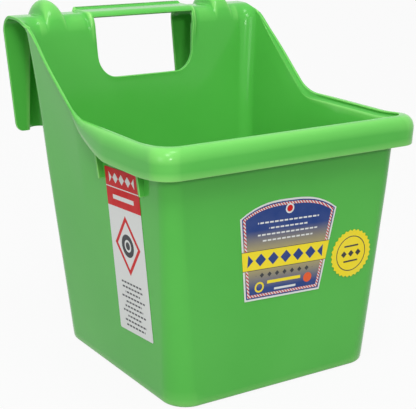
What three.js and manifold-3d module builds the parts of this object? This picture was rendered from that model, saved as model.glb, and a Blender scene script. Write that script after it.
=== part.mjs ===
// Hook-over feeder: a deep tub with a rolled lip, and a flange at the back that hooks over a board.
// Millimetres. +Z is up, +Y points to the board, and the origin is the middle of the resting face.

import * as THREE from 'three';
import { mergeVertices } from 'three/addons/utils/BufferGeometryUtils.js';
import Module from 'manifold-3d';

// Tub
const BASE_WIDTH = 240;
const BASE_DEPTH = 229;
const WALL = 4;
const FLOOR = 4;
const BASE_EDGE_RADIUS = 2.5;
const FLOOR_EDGE_RADIUS = 5;
const CORNER_RADIUS = 18;
const CORNER_RADIUS_AT_FOOT = 26;
const CORNER_TAPER_HEIGHT = 190;
const SIDE_DRAFT_DEGREES = 3.95;
const FRONT_DRAFT_DEGREES = 1.43;
const BACK_DRAFT_DEGREES = 6.95;

// Rim line, seen from the side
const RIM_HEIGHT = 263;
const RIM_DIP = 4.5;
const RIM_CORNER_RISE = 3;
const RIM_CORNER_RISE_LENGTH = 45;
const KNEE_BEHIND_CENTRE = 45;
const KNEE_RADIUS = 35;
const SLOPE_DEGREES = 38;
const SHOULDER_RADIUS = 70;

// Rolled lip along the front and both sides, which fades into a bead on the slope
const WALL_FLARE = 4;
const FLARE_DEPTH = 26;
const RIM_INNER_ROUND = 1;
const LIP_REACH = 10.5;
const LIP_DEPTH = 29;
const LIP_THICKNESS = 3.5;
const LIP_POCKET_TOP = 7;
const LIP_ROUND = 8;
const LIP_FADE_START = 4;
const LIP_FADE_LENGTH = 58;
const BEAD_REACH = 1.2;
const BEAD_DEPTH = 4.5;

// Hook
const HOOK_HEIGHT = 340;
const HOOK_BEND_RADIUS = 18;
const HOOK_THICKNESS = 3.2;
const HOOK_INSET = 0.4;
const HOOK_LEG = 12;
const BOARD_GAP = 42;
const FLAP_TIP_HEIGHT = 211;
const FLAP_EDGE_TAPER_DEGREES = 6;
const FLAP_OUTER_CORNER = 7;
const FLAP_INNER_CORNER = 14;
const FLAP_SPACING = 126;

// Ribs that stiffen the hook
const RIB_FROM_EDGE = 40.7;
const RIB_HEIGHT = 14.5;
const RIB_WIDTH_AT_TOP = 27;
const RIB_WIDTH_AT_TIP = 35;
const RIB_BEND_RADIUS = 31;

// Hand hole, whose sides run parallel to the tub's, and the handle bar above it
const HAND_HOLE_WIDTH = 125;
const HAND_HOLE_FOOT_WIDTH = 116;
const HAND_HOLE_HEIGHT = 65;
const HAND_HOLE_BELOW_CREST = 3;
const HAND_HOLE_CORNER_RADIUS = 22;
const HANDLE_RISE = 2;
const RIDGE_LENGTH = 138;
const RIDGE_END_SLANT = 2.5;
const RIDGE_RISE = 3.7;
const RIDGE_THICKNESS = 4;
const RIDGE_BEHIND_CREST = 6.8;

// Webs between the side lips and the wall
const WEB_THICKNESS = 3;
const WEB_REACH = 7;
const WEB_FOOT_REACH = 5;
const WEB_BELOW_LIP = 24;
const WEB_OVERLAP = 1;
const REAR_WEB_PLACE = 1;
const FRONT_WEB_PLACE = -77;

// Vinyl labels
const LABEL_THICKNESS = 0.3;
const LABEL_GAP = 0.3;
const SIDE_LABEL_WIDTH = 63;
const SIDE_LABEL_FOOT_HEIGHT = 57;
const SIDE_LABEL_BELOW_LIP = 12;
const SIDE_LABEL_PLACE = -42;
const SIDE_LABEL_TILT_DEGREES = 4;
const SIDE_LABEL_CORNER_RADIUS = 2;
const FRONT_LABEL_WIDTH = 115;
const FRONT_LABEL_FOOT_WIDTH = 90;
const FRONT_LABEL_SIDE_HEIGHT = 84;
const FRONT_LABEL_ARCH = 15;
const FRONT_LABEL_BELOW_LIP = 38;
const FRONT_LABEL_TILT_DEGREES = -2.3;
const SEAL_RADIUS = 25.5;
const SEAL_TOOTH = 1.8;
const SEAL_TEETH = 30;
const SEAL_BELOW_LIP = 108;
const SEAL_PLACE = 82;

// Shares of the sizes above
const LIP_CORNER_SHARE = 0.2;
const FLARE_BEND_SHARE = 0.5;
const FLARE_AT_BEND_SHARE = 0.25;
const SHOULDER_HANDLE_SHARE = 0.31;
const BEND_HANDLE_SHARE = 0.39;
const ARCH_SHOULDER_SHARE = 0.62;
const SEAL_RING_SHARES = [0, 0.35, 0.6, 0.8, 1];

// Facets and cutting
const CORNER_STEPS = 8;
const SIDE_STEPS = 28;
const BASE_STEPS = 4;
const LIP_STEPS = 4;
const BEND_STEPS = 7;
const RIB_STEPS = 10;
const MERGE_DISTANCE = 0.001;
const CUT_OVERRUN = 40;

const { degToRad, lerp, smoothstep, clamp } = THREE.MathUtils;
const sideDraft = Math.tan(degToRad(SIDE_DRAFT_DEGREES));
const frontDraft = Math.tan(degToRad(FRONT_DRAFT_DEGREES));
const backDraft = Math.tan(degToRad(BACK_DRAFT_DEGREES));
const flapTaper = Math.tan(degToRad(FLAP_EDGE_TAPER_DEGREES));
const slopeAngle = degToRad(SLOPE_DEGREES);
const slope = Math.tan(slopeAngle);

// Where the outer faces of the walls stand at a height

const halfWidthAt = (z) => BASE_WIDTH / 2 + sideDraft * z;
const frontAt = (z) => -(BASE_DEPTH / 2 + frontDraft * z);
const backAt = (z) => BASE_DEPTH / 2 + backDraft * z;
const cornerRadiusAt = (z) => (
  lerp(CORNER_RADIUS_AT_FOOT, CORNER_RADIUS, Math.min(z / CORNER_TAPER_HEIGHT, 1)));

// A place on the outline is a side (-1 left, 1 right), a stretch, and a share of it from front to back.
// Its point at height z is moved outward by reach, and the lip's front corners stay tighter than an offset.
function outlinePoint(place, z, reach) {
  const radius = cornerRadiusAt(z);
  const frontRadius = radius + (reach > 0 ? reach * LIP_CORNER_SHARE : reach);
  const frontCentre = frontAt(z) - reach + frontRadius;
  const rearCentre = backAt(z) - radius;
  let x = halfWidthAt(z) + reach;
  let y = lerp(frontCentre, rearCentre, place.share);
  if (place.stretch === 'front corner') {
    const angle = (place.share - 1) * Math.PI / 2;
    x += frontRadius * (Math.cos(angle) - 1);
    y = frontCentre + frontRadius * Math.sin(angle);
  }
  if (place.stretch === 'rear corner') {
    const angle = place.share * Math.PI / 2;
    x += (radius + reach) * (Math.cos(angle) - 1);
    y = rearCentre + (radius + reach) * Math.sin(angle);
  }
  return new THREE.Vector3(place.side * x, y, z);
}

// The rim line's height at y: higher at the front corners, nearly level, a knee, a slope, a shoulder
// and the top of the hook

const kneeHeight = RIM_HEIGHT - RIM_DIP;
const kneeSetback = KNEE_RADIUS * Math.tan(slopeAngle / 2);
const shoulderSetback = SHOULDER_RADIUS * Math.tan(slopeAngle / 2);
const shoulderVertex = KNEE_BEHIND_CENTRE + (HOOK_HEIGHT - kneeHeight) / slope;
const shoulderEnd = shoulderVertex + shoulderSetback;

function rimHeightAt(y) {
  const kneeStart = KNEE_BEHIND_CENTRE - kneeSetback;
  const shoulderStart = shoulderVertex - shoulderSetback * Math.cos(slopeAngle);
  if (y < kneeStart) {
    const front = frontAt(RIM_HEIGHT);
    const level = RIM_HEIGHT - RIM_CORNER_RISE * smoothstep(y, front, front + RIM_CORNER_RISE_LENGTH);
    return lerp(level, level - RIM_DIP + RIM_CORNER_RISE, clamp((y - front) / (kneeStart - front), 0, 1));
  }
  if (y < KNEE_BEHIND_CENTRE + kneeSetback * Math.cos(slopeAngle)) {
    return kneeHeight + KNEE_RADIUS - Math.sqrt(KNEE_RADIUS ** 2 - (y - kneeStart) ** 2);
  }
  if (y < shoulderStart) return kneeHeight + slope * (y - KNEE_BEHIND_CENTRE);
  if (y < shoulderEnd) {
    return HOOK_HEIGHT - SHOULDER_RADIUS + Math.sqrt(SHOULDER_RADIUS ** 2 - (shoulderEnd - y) ** 2);
  }
  return HOOK_HEIGHT;
}

// The wall's top at a place. The rim line and the sloping wall meet where both give the same height.
const bendStartHeight = HOOK_HEIGHT - HOOK_BEND_RADIUS;

function crestHeight(place) {
  const start = place.stretch === 'rear corner' ? { ...place, share: 0 } : place;
  let crest = RIM_HEIGHT;
  for (let pass = 0; pass < CORNER_STEPS; pass += 1) crest = rimHeightAt(outlinePoint(start, crest, 0).y);
  const backTop = bendStartHeight - BEAD_DEPTH;
  return place.stretch === 'rear corner' ? lerp(crest, backTop, place.share) : crest;
}

// Closed solids from grids of points

const wasm = await Module();
wasm.setup();

function toManifold(geometry) {
  const bare = geometry.clone();
  bare.deleteAttribute('normal');
  bare.deleteAttribute('uv');
  const merged = mergeVertices(bare, MERGE_DISTANCE);
  const index = merged.getIndex().array;
  const triangles = [];
  for (let first = 0; first < index.length; first += 3) {
    const [a, b, c] = index.slice(first, first + 3);
    if (a !== b && b !== c && c !== a) triangles.push(a, b, c);
  }
  const vertProperties = new Float32Array(merged.getAttribute('position').array);
  const triVerts = new Uint32Array(triangles);
  return new wasm.Manifold(new wasm.Mesh({ numProp: 3, vertProperties, triVerts }));
}

function toGeometry(solid) {
  const mesh = solid.getMesh();
  const geometry = new THREE.BufferGeometry();
  geometry.setAttribute('position', new THREE.Float32BufferAttribute(mesh.vertProperties, mesh.numProp));
  geometry.setIndex(new THREE.Uint32BufferAttribute(mesh.triVerts, 1));
  geometry.computeVertexNormals();
  return geometry;
}

// Each column is a closed section that joins the next. A closed sweep joins its last column to its first,
// and an open one caps both end sections, whose first half lies opposite their second half.
function sweptSolid(columns, closed) {
  const rows = columns[0].length;
  const positions = columns.flat().flatMap((point) => point.toArray());
  const triangles = [];
  const joins = closed ? columns.length : columns.length - 1;
  for (let column = 0; column < joins; column += 1) {
    const here = column * rows;
    const next = ((column + 1) % columns.length) * rows;
    for (let row = 0; row < rows; row += 1) {
      const above = (row + 1) % rows;
      triangles.push(here + row, next + row, next + above, here + row, next + above, here + above);
    }
  }
  const end = joins * rows;
  for (let row = 0; !closed && row < rows / 2 - 1; row += 1) {
    const [a, b, c, d] = [row, row + 1, rows - 2 - row, rows - 1 - row];
    triangles.push(a, b, c, a, c, d, end + a, end + c, end + b, end + a, end + d, end + c);
  }
  const geometry = new THREE.BufferGeometry();
  geometry.setAttribute('position', new THREE.Float32BufferAttribute(positions, 3));
  geometry.setIndex(triangles);
  return toManifold(geometry);
}

// A sheet of even thickness: a grid of points on its face, and their copies moved square to the face
function sheetSolid(grid, thickness) {
  const lastColumn = grid.length - 1;
  const lastRow = grid[0].length - 1;
  const columns = grid.map((column, c) => {
    const back = column.map((point, r) => {
      const across = grid[Math.min(c + 1, lastColumn)][r].clone().sub(grid[Math.max(c - 1, 0)][r]);
      const along = column[Math.min(r + 1, lastRow)].clone().sub(column[Math.max(r - 1, 0)]);
      return across.cross(along).setLength(thickness).add(point);
    });
    return [...back, ...column.slice().reverse()];
  });
  return sweptSolid(columns, false);
}

// A quarter turn as shares of its radius: run grows slowly from nothing, and rise grows fast
function quarterTurn(steps) {
  return Array.from({ length: steps + 1 }, (unused, step) => {
    const angle = (step / steps) * Math.PI / 2;
    return { run: 1 - Math.cos(angle), rise: Math.sin(angle) };
  });
}

// An outline through points given as [across, up, corner radius]
function roundedOutline(points) {
  const shape = new THREE.Shape();
  points.forEach(([across, up, radius], i) => {
    const here = new THREE.Vector2(across, up);
    const [before, after] = [points.at(i - 1), points[(i + 1) % points.length]];
    const back = new THREE.Vector2(before[0], before[1]).sub(here);
    const onward = new THREE.Vector2(after[0], after[1]).sub(here);
    const setback = radius / Math.tan(Math.abs(back.angleTo(onward)) / 2);
    const start = here.clone().add(back.setLength(setback));
    const end = here.clone().add(onward.setLength(setback));
    if (i === 0) shape.moveTo(start.x, start.y);
    else shape.lineTo(start.x, start.y);
    if (radius > 0) shape.quadraticCurveTo(across, up, end.x, end.y);
  });
  shape.closePath();
  return shape;
}

// A prism along Y whose outline is drawn in X and Z
function prismAlongY(shape, yStart, yEnd) {
  const settings = { depth: yEnd - yStart, bevelEnabled: false, curveSegments: CORNER_STEPS };
  const geometry = new THREE.ExtrudeGeometry(shape, settings);
  geometry.rotateX(Math.PI / 2);
  geometry.translate(0, yEnd, 0);
  return toManifold(geometry);
}

// Tub wall: a closed section for each place of the outline, from the resting face over the lip to the floor

function lipShare(place, y) {
  if (place.stretch === 'front corner') return 1;
  if (place.stretch === 'rear corner') return 0;
  return 1 - smoothstep(y, LIP_FADE_START, LIP_FADE_START + LIP_FADE_LENGTH);
}

// How far outward the wall has flared at a drop below its top. The back wall stays straight.
const flareBend = FLARE_DEPTH * FLARE_BEND_SHARE;

function flareShare(place) {
  return place.stretch === 'rear corner' ? 1 - place.share : 1;
}

function flareAt(place, drop) {
  const upper = lerp(1, FLARE_AT_BEND_SHARE, clamp(drop / flareBend, 0, 1));
  const lower = FLARE_AT_BEND_SHARE * clamp((FLARE_DEPTH - drop) / (FLARE_DEPTH - flareBend), 0, 1);
  return WALL_FLARE * flareShare(place) * (drop < flareBend ? upper : lower);
}

function wallSection(place) {
  const crest = crestHeight(place);
  const lip = lipShare(place, outlinePoint(place, crest, 0).y);
  const flare = flareAt(place, 0);
  const outer = flare - 2 * BEAD_REACH * (1 - flareShare(place));
  const reach = outer + lerp(BEAD_REACH, LIP_REACH, lip);
  const depth = lerp(BEAD_DEPTH, LIP_DEPTH, lip);
  const pocketFace = reach - lerp(BEAD_REACH / 2, LIP_THICKNESS, lip);
  const pocketTop = crest - lerp(BEAD_DEPTH - BEAD_REACH, LIP_POCKET_TOP, lip);
  const round = lerp(BEAD_REACH, LIP_ROUND, lip);
  const bend = crest - flareBend;
  const section = [];
  for (const { run, rise } of quarterTurn(BASE_STEPS)) {
    section.push([BASE_EDGE_RADIUS * (rise - 1), BASE_EDGE_RADIUS * run]);
  }
  section.push([0, crest - Math.max(FLARE_DEPTH, depth)], [flareAt(place, flareBend), bend]);
  section.push([outer, pocketTop], [pocketFace, pocketTop]);
  section.push([pocketFace, crest - depth], [reach, crest - depth]);
  for (const { run, rise } of quarterTurn(LIP_STEPS)) {
    section.push([reach - round * run, crest - round * (1 - rise)]);
  }
  section.push([flare - WALL + RIM_INNER_ROUND, crest], [flare - WALL, crest - RIM_INNER_ROUND]);
  section.push([flareAt(place, flareBend) - WALL, bend], [-WALL, crest - FLARE_DEPTH]);
  for (const { run, rise } of quarterTurn(BASE_STEPS)) {
    section.push([-WALL - FLOOR_EDGE_RADIUS * run, FLOOR + FLOOR_EDGE_RADIUS * (1 - rise)]);
  }
  return section.map(([outward, z]) => outlinePoint(place, z, outward));
}

function placesFromFrontToBack(side) {
  const spread = (stretch, steps, first, last) => Array.from({ length: last - first + 1 },
    (unused, i) => ({ side, stretch, share: (first + i) / steps }));
  return [
    ...spread('front corner', CORNER_STEPS, 0, CORNER_STEPS),
    ...spread('side', SIDE_STEPS, 1, SIDE_STEPS - 1),
    ...spread('rear corner', CORNER_STEPS, 0, CORNER_STEPS),
  ];
}

const allPlaces = [...placesFromFrontToBack(1), ...placesFromFrontToBack(-1).reverse()];

function tubFloor() {
  const edge = allPlaces.map((place) => outlinePoint(place, 0, -BASE_EDGE_RADIUS));
  const outline = new THREE.Shape(edge.map((point) => new THREE.Vector2(point.x, point.y)));
  return toManifold(new THREE.ExtrudeGeometry(outline, { depth: FLOOR, bevelEnabled: false }));
}

// Hook: one sheet that leaves the back wall, bends over the board and hangs down in two flaps

const innerBack = backAt(bendStartHeight) - WALL + HOOK_INSET;
const flapFace = backAt(bendStartHeight) + BOARD_GAP + HOOK_THICKNESS;
const hookEdge = halfWidthAt(bendStartHeight) + WALL_FLARE;
const ribPlace = hookEdge - RIB_FROM_EDGE;
const flapShrinkAt = (z) => flapTaper * Math.max(bendStartHeight - z, 0);

function ribHalfWidthAt(z) {
  const share = clamp((bendStartHeight - z) / (bendStartHeight - FLAP_TIP_HEIGHT), 0, 1);
  return lerp(RIB_WIDTH_AT_TOP, RIB_WIDTH_AT_TIP, share) / 2;
}

// A column of the hook's upper face. Its place on the rear corner says where it leaves the wall,
// sideways(z) is its distance from the middle, rib its share of the rib's height, and lift raises it.
function hookColumn(place, sideways, rib, lift) {
  const bend = lerp(HOOK_BEND_RADIUS, RIB_BEND_RADIUS, rib);
  const crest = HOOK_HEIGHT + RIB_HEIGHT * rib + lift;
  const rear = flapFace + RIB_HEIGHT * rib;
  const at = (y, z) => new THREE.Vector3(place.side * sideways(z), y, z);
  const startHeight = lerp(crestHeight({ ...place, share: 0 }), bendStartHeight, place.share);
  const onWall = (z) => {
    const reach = flareAt(place, crestHeight(place) - z) - WALL + HOOK_INSET;
    const point = outlinePoint(place, z, reach);
    return place.share < 1 ? point : point.setX(place.side * sideways(z));
  };
  const start = onWall(startHeight);
  const crestFront = at(lerp(shoulderEnd, innerBack + bend, place.share), crest);
  const crestRear = Math.max(rear - bend, crestFront.y);
  const shares = [SHOULDER_HANDLE_SHARE, BEND_HANDLE_SHARE];
  const handle = start.distanceTo(crestFront) * lerp(...shares, place.share);
  const upward = new THREE.Vector3(0, lerp(1, backDraft, place.share), lerp(slope, 1, place.share));
  const leaving = start.clone().add(upward.setLength(handle));
  const arriving = crestFront.clone().setY(crestFront.y - handle);
  const front = new THREE.CubicBezierCurve3(start, leaving, arriving, crestFront);
  const over = quarterTurn(BEND_STEPS).map(({ run, rise }) => (
    at(lerp(crestRear, rear, rise), crest - bend * run)));
  const edgeDistance = hookEdge - flapShrinkAt(FLAP_TIP_HEIGHT) - sideways(FLAP_TIP_HEIGHT);
  const cornerRun = Math.max(FLAP_OUTER_CORNER - edgeDistance, 0);
  const cornerRise = FLAP_OUTER_CORNER - Math.sqrt(FLAP_OUTER_CORNER ** 2 - cornerRun ** 2);
  const tip = at(rear, FLAP_TIP_HEIGHT + cornerRise);
  return [onWall(startHeight - HOOK_LEG), ...front.getPoints(BEND_STEPS), ...over, tip];
}

function hookSheet() {
  const ribBorder = (z) => ribPlace + ribHalfWidthAt(z);
  const backStart = halfWidthAt(bendStartHeight) - cornerRadiusAt(bendStartHeight);
  const cornerSpan = (hookEdge - backStart) / (hookEdge - ribBorder(bendStartHeight));
  const half = (side) => {
    const back = { side, stretch: 'rear corner', share: 1 };
    const corner = quarterTurn(CORNER_STEPS).map((unused, step) => {
      const share = step / CORNER_STEPS;
      const sideways = (z) => lerp(hookEdge - flapShrinkAt(z), ribBorder(z), share * cornerSpan);
      return hookColumn({ ...back, share }, sideways, 0, 0);
    });
    const rib = Array.from({ length: RIB_STEPS + 1 }, (unused, step) => {
      const angle = (step / RIB_STEPS) * Math.PI;
      const sideways = (z) => ribPlace + ribHalfWidthAt(z) * Math.cos(angle);
      return hookColumn(back, sideways, Math.sin(angle), 0);
    });
    const handleEnd = hookColumn(back, () => HAND_HOLE_WIDTH / 2, 0, 0);
    const handle = hookColumn(back, () => HAND_HOLE_WIDTH / 2 - HANDLE_RISE, 0, HANDLE_RISE);
    return [...corner, ...rib, handleEnd, handle];
  };
  return sheetSolid([...half(1), ...half(-1).reverse()], HOOK_THICKNESS);
}

const handHoleTop = HOOK_HEIGHT - HAND_HOLE_BELOW_CREST;
const handHoleBottom = handHoleTop - HAND_HOLE_HEIGHT;

function handHole() {
  const [side, foot] = [HAND_HOLE_WIDTH / 2, HAND_HOLE_FOOT_WIDTH / 2];
  const radius = HAND_HOLE_CORNER_RADIUS;
  const outline = roundedOutline([
    [-foot, handHoleBottom, radius], [foot, handHoleBottom, radius],
    [side, handHoleTop, 0], [-side, handHoleTop, 0],
  ]);
  return prismAlongY(outline, innerBack - CUT_OVERRUN, flapFace + CUT_OVERRUN);
}

function gapBetweenFlaps() {
  const top = FLAP_SPACING / 2;
  const corner = FLAP_TIP_HEIGHT + FLAP_INNER_CORNER;
  const foot = top + flapShrinkAt(corner);
  const right = [
    [foot + FLAP_INNER_CORNER, FLAP_TIP_HEIGHT - CUT_OVERRUN, 0],
    [foot + FLAP_INNER_CORNER, FLAP_TIP_HEIGHT, 0],
    [foot, corner, FLAP_INNER_CORNER / 2], [top, bendStartHeight, 0], [top, handHoleTop, 0],
  ];
  const left = right.map(([x, z, radius]) => [-x, z, radius]).reverse();
  const outline = roundedOutline([...right, ...left]);
  return prismAlongY(outline, flapFace - HOOK_BEND_RADIUS, flapFace + CUT_OVERRUN);
}

// The upstanding ridge along the rear edge of the handle bar
function ridge() {
  const top = HOOK_HEIGHT + RIDGE_RISE;
  const foot = RIDGE_LENGTH / 2;
  const end = foot - RIDGE_END_SLANT;
  const outline = roundedOutline([
    [-foot, handHoleTop, 0], [foot, handHoleTop, 0],
    [end, top, RIDGE_END_SLANT / 2], [-end, top, RIDGE_END_SLANT / 2],
  ]);
  const start = flapFace - HOOK_BEND_RADIUS + RIDGE_BEHIND_CREST;
  return prismAlongY(outline, start, start + RIDGE_THICKNESS);
}

// A thin upright web that ties a side lip to the wall
function lipWeb(side, y) {
  const top = rimHeightAt(y) - LIP_POCKET_TOP;
  const lipEdge = rimHeightAt(y) - LIP_DEPTH;
  const foot = lipEdge - WEB_BELOW_LIP;
  const at = (z, reach) => [side * (halfWidthAt(z) + reach), z, 0];
  const outline = roundedOutline([
    at(foot, -WEB_OVERLAP), at(foot, WEB_FOOT_REACH), at(lipEdge, WEB_REACH),
    at(top + WEB_OVERLAP, WEB_REACH), at(top + WEB_OVERLAP, -WEB_OVERLAP),
  ]);
  return prismAlongY(outline, y - WEB_THICKNESS / 2, y + WEB_THICKNESS / 2);
}

function feederBody() {
  let body = sweptSolid(allPlaces.map(wallSection), true).add(tubFloor()).add(hookSheet());
  body = body.subtract(handHole()).subtract(gapBetweenFlaps()).add(ridge());
  for (const side of [-1, 1]) {
    for (const y of [REAR_WEB_PLACE, FRONT_WEB_PLACE]) body = body.add(lipWeb(side, y));
  }
  return toGeometry(body);
}

// Labels: thin sheets that lie on the walls, placed from the lip's lower edge
const lipEdgeHeight = RIM_HEIGHT - LIP_DEPTH;

// The front wall and its corners, as a flat map of across and up. Proud is the distance off the wall.
function onFrontWall(across, up, proud) {
  const radius = cornerRadiusAt(up);
  const flat = halfWidthAt(up) - radius;
  const angle = Math.max(Math.abs(across) - flat, 0) / radius;
  const x = Math.min(Math.abs(across), flat) + (radius + proud) * Math.sin(angle);
  const y = frontAt(up) + radius - (radius + proud) * Math.cos(angle);
  return new THREE.Vector3(Math.sign(across) * x, y, up);
}

function onLeftWall(across, up, proud) {
  return new THREE.Vector3(-halfWidthAt(up) - proud, -across, up);
}

function labelSheet(shape, tiltDegrees, across, up, onWall) {
  const settings = { depth: LABEL_THICKNESS, bevelEnabled: false, curveSegments: CORNER_STEPS };
  const geometry = new THREE.ExtrudeGeometry(shape, settings);
  geometry.rotateZ(degToRad(tiltDegrees));
  geometry.translate(across, up, LABEL_GAP);
  const position = geometry.getAttribute('position');
  for (let i = 0; i < position.count; i += 1) {
    position.setXYZ(i, ...onWall(position.getX(i), position.getY(i), position.getZ(i)).toArray());
  }
  return toGeometry(toManifold(geometry));
}

function sideLabel() {
  const labelTop = lipEdgeHeight - SIDE_LABEL_BELOW_LIP;
  const [side, top] = [SIDE_LABEL_WIDTH / 2, (labelTop - SIDE_LABEL_FOOT_HEIGHT) / 2];
  const corners = [[-side, -top], [side, -top], [side, top], [-side, top]];
  const shape = roundedOutline(corners.map((corner) => [...corner, SIDE_LABEL_CORNER_RADIUS]));
  return labelSheet(shape, SIDE_LABEL_TILT_DEGREES, -SIDE_LABEL_PLACE, labelTop - top, onLeftWall);
}

function frontLabel() {
  const [shoulder, foot] = [FRONT_LABEL_WIDTH / 2, FRONT_LABEL_FOOT_WIDTH / 2];
  const top = FRONT_LABEL_SIDE_HEIGHT / 2;
  const shape = new THREE.Shape();
  shape.moveTo(-foot, -top);
  shape.lineTo(foot, -top);
  shape.lineTo(shoulder, top);
  const [arch, bulge] = [top + FRONT_LABEL_ARCH, shoulder * ARCH_SHOULDER_SHARE];
  shape.bezierCurveTo(bulge, arch, bulge / 2, arch, 0, arch);
  shape.bezierCurveTo(-bulge / 2, arch, -bulge, arch, -shoulder, top);
  const centreHeight = lipEdgeHeight - FRONT_LABEL_BELOW_LIP - arch;
  return labelSheet(shape, FRONT_LABEL_TILT_DEGREES, 0, centreHeight, onFrontWall);
}

function roundSeal() {
  const spokes = Array.from({ length: 2 * SEAL_TEETH }, (unused, spoke) => {
    const angle = (spoke / SEAL_TEETH) * Math.PI;
    const rim = SEAL_RADIUS - SEAL_TOOTH * (spoke % 2);
    const point = (share, proud) => onFrontWall(SEAL_PLACE + rim * share * Math.cos(angle),
      lipEdgeHeight - SEAL_BELOW_LIP + rim * share * Math.sin(angle), proud);
    const face = SEAL_RING_SHARES.map((share) => point(share, LABEL_GAP + LABEL_THICKNESS));
    const back = SEAL_RING_SHARES.map((share) => point(share, LABEL_GAP));
    return [...face, ...back.reverse()];
  });
  return toGeometry(sweptSolid(spokes.reverse(), true));
}

// The finished group

function piece(name, geometry, color, roughness) {
  const material = new THREE.MeshStandardMaterial({ color, roughness, metalness: 0 });
  const mesh = new THREE.Mesh(geometry, material);
  mesh.name = name;
  return mesh;
}

const feeder = new THREE.Group();
feeder.add(piece('feeder_body', feederBody(), 0x4fbf45, 0.35));
feeder.add(piece('side_label', sideLabel(), 0xe9e9e6, 0.4));
feeder.add(piece('front_label', frontLabel(), 0x2c4f8f, 0.4));
feeder.add(piece('round_seal', roundSeal(), 0xf2dc2b, 0.4));

export default feeder;
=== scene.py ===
import functools
import math

import bmesh
import bpy
from mathutils import Matrix, Vector


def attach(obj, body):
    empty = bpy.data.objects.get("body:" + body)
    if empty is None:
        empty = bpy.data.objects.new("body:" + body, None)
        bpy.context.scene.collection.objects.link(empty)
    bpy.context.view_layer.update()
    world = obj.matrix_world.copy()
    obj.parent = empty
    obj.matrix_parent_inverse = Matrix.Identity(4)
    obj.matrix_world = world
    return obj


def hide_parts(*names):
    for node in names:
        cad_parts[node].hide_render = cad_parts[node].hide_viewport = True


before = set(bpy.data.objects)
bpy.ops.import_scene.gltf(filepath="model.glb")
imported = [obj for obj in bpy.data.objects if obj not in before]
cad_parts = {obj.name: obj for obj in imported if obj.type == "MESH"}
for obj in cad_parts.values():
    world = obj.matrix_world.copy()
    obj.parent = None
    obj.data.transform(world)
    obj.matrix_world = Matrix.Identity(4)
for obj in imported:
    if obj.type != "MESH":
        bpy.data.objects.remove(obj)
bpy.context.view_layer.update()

# Sizes in millimetres, those of the solids or a few millimetres off them
BASE_WIDTH, BASE_DEPTH = 240, 229
SIDE_DRAFT_DEGREES, FRONT_DRAFT_DEGREES, BACK_DRAFT_DEGREES = 3.95, 1.43, 6.95
WALL, FLOOR = 4, 4
BASE_EDGE, FLOOR_EDGE = 4.5, 5
CORNER_RADIUS, CORNER_AT_FOOT, CORNER_TAPER_HEIGHT, LIP_CORNER_SHARE = 18, 26, 190, .2
RIM, RIM_DIP, CORNER_RISE, CORNER_RISE_LENGTH = 263, 4.5, 3, 45
KNEE, KNEE_RADIUS, SLOPE_DEGREES, SHOULDER_RADIUS = 41, 47, 38, 70
FLARE, FLARE_DEPTH, SLOPE_FLARE_DEPTH = 4, 26, 110
RIM_LEAN_SIDE, RIM_LEAN_FRONT, RIM_WALL = 2, .6, 3
LIP_REACH, LIP_DEPTH, LIP_THICKNESS, LIP_POCKET = 10.5, 29, 3.5, 7
LIP_FADE_START, LIP_FADE_LENGTH, LIP_FADE_POWER = -22, 72, 1.4
RIM_TO_HOOK = 4.5
HOOK, BEND, HOOK_THICKNESS, BOARD_GAP = 340, 18, 3.2, 42
FLAP_TIP, FLAP_TAPER_DEGREES = 211, 6
FLAP_OUTER_CORNER, FLAP_INNER_CORNER, FLAP_SPACING = 7, 14, 126
RIB_FROM_EDGE, RIB_HEIGHT, RIB_TOP_WIDTH, RIB_TIP_WIDTH, RIB_BEND = 40.7, 14.5, 22, 29, 31
HOLE_WIDTH, HOLE_FOOT_WIDTH, HOLE_HEIGHT, HOLE_BELOW_CREST, HOLE_CORNER = 125, 116, 65, 3, 22
HOLE_CORNER_FADE, HOLE_TAPER_FOOT, HOLE_TAPER_END, HOLE_MARGIN = 22, 190, 90, 7
LIFT_SPAN, FLANGE_SPAN = (66, 70), (66, 71)
HANDLE_RISE, HOLE_FLANGE, BAR_BEND = 2, 3.5, 10
SWELL_START, SWELL_END = 294, 326
RIDGE_LENGTH, RIDGE_SLANT, RIDGE_RISE, RIDGE_THICKNESS, RIDGE_BEHIND = 138, 2.5, 3.7, 4, 6.8
RIDGE_LEAN, RIDGE_FOOT_RISE, RIDGE_ROUND = 5.5, 2.2, .9
WEB_THICKNESS, WEB_REACH, WEB_FOOT_REACH, WEB_BELOW_LIP, WEB_PLACES = 3, 7, 5, 24, (1, -77)
WEB_SUNK, WEB_TOP_INSET, WEB_ROUND = 1, 2.5, .5

side_draft = math.tan(math.radians(SIDE_DRAFT_DEGREES))
front_draft = math.tan(math.radians(FRONT_DRAFT_DEGREES))
back_draft = math.tan(math.radians(BACK_DRAFT_DEGREES))
flap_taper = math.tan(math.radians(FLAP_TAPER_DEGREES))
slope_angle = math.radians(SLOPE_DEGREES)
slope = math.tan(slope_angle)


def lerp(a, b, t):
    return a + (b - a) * t


def clamp(v, lo=0.0, hi=1.0):
    return max(lo, min(hi, v))


def smooth(v, lo, hi):
    t = clamp((v - lo) / (hi - lo))
    return t * t * (3 - 2 * t)


def half_width(z):
    return BASE_WIDTH / 2 + side_draft * z


def front_at(z):
    return -(BASE_DEPTH / 2 + front_draft * z)


def back_at(z):
    return BASE_DEPTH / 2 + back_draft * z


def corner_radius(z):
    return lerp(CORNER_AT_FOOT, CORNER_RADIUS, min(z / CORNER_TAPER_HEIGHT, 1))


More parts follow.
